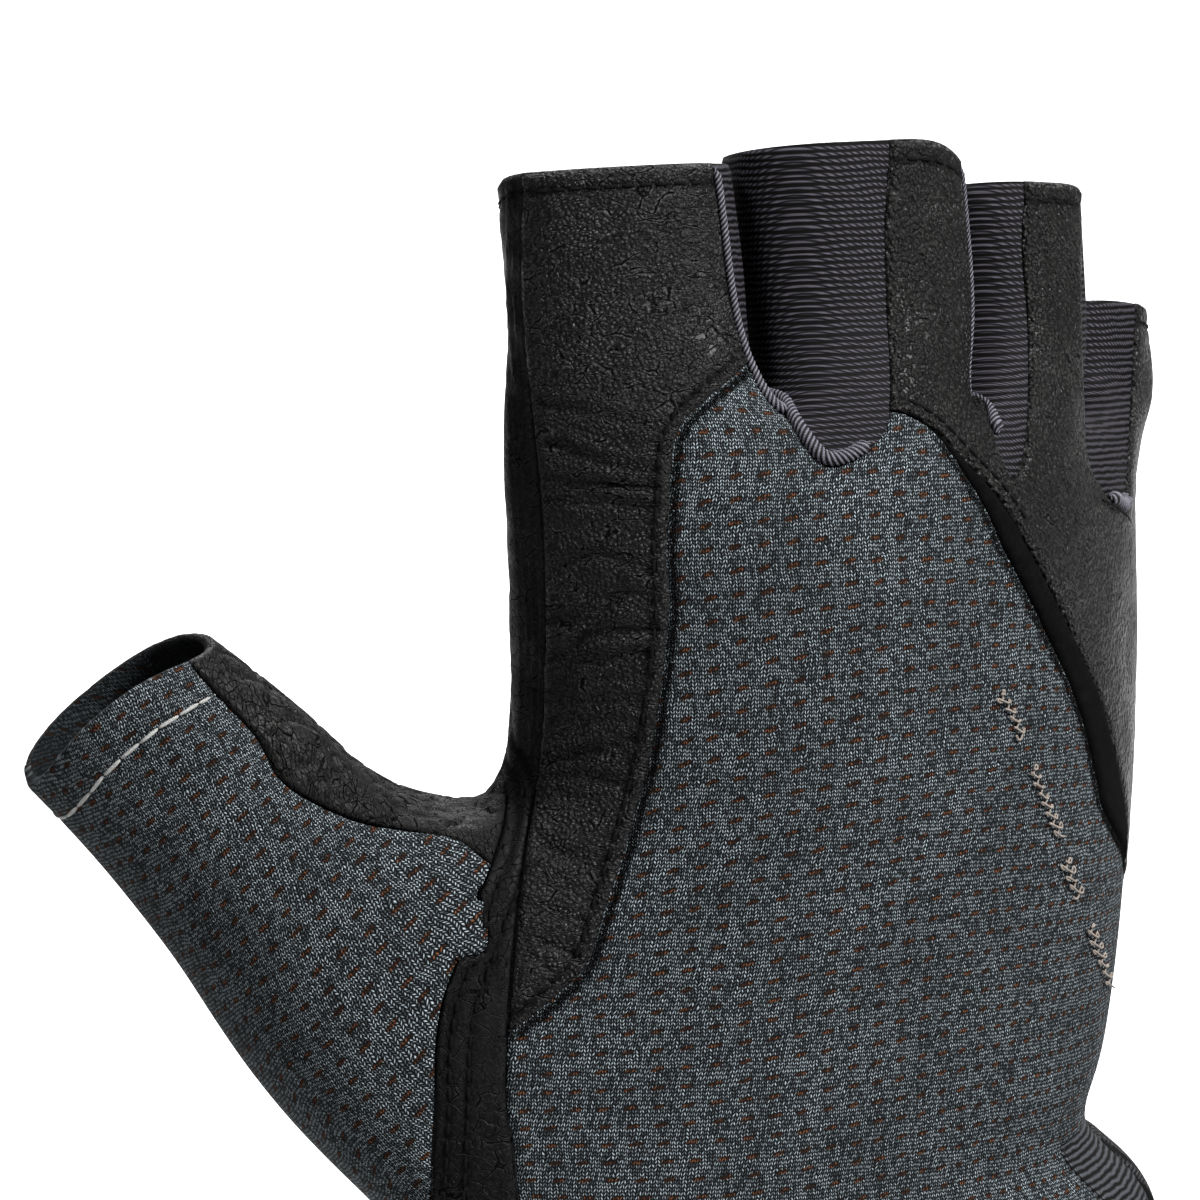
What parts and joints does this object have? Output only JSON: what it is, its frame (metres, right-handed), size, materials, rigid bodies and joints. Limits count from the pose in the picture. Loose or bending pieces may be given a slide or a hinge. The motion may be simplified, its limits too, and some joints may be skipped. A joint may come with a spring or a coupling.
{
  "type": "fitness glove",
  "caption": "Right-hand fingerless training glove with a perforated knit back, grained leather panels, ribbed knit side walls between the fingers and an elastic cuff, shaped as worn.",
  "frame": {"origin": "centre of the wrist opening, in the plane of the cuff's hem", "axes": "+Z from the wrist towards the fingertips, -Y the back of the hand, +Y the palm, -X the thumb side"},
  "size_m": [0.1581, 0.0713, 0.1508],
  "materials": {
    "back_leather": "semi-matt grained",
    "palm_leather": "matt grained",
    "thumb_leather": "matt wrinkled",
    "knuckle_leather": "matt fine-grained",
    "edge_suede": "napped",
    "back_mesh": "perforated knit",
    "side_knit": "ribbed knit",
    "cuff_elastic": "ribbed elastic"
  },
  "bodies": {
    "root": {"index_back_leather": "back_leather", "index_side_strip": "back_leather", "palm_leather": "palm_leather", "thumb_leather": "thumb_leather", "knuckle_leather": "knuckle_leather", "knuckle_edge_trim": "edge_suede", "back_mesh": "back_mesh", "thumb_mesh": "back_mesh", "fourchette_index_middle": "side_knit", "fourchette_middle_ring": "side_knit", "fourchette_ring_little": "side_knit", "cuff_gusset": "side_knit", "cuff_band": "cuff_elastic"}
  },
  "joints": []
}
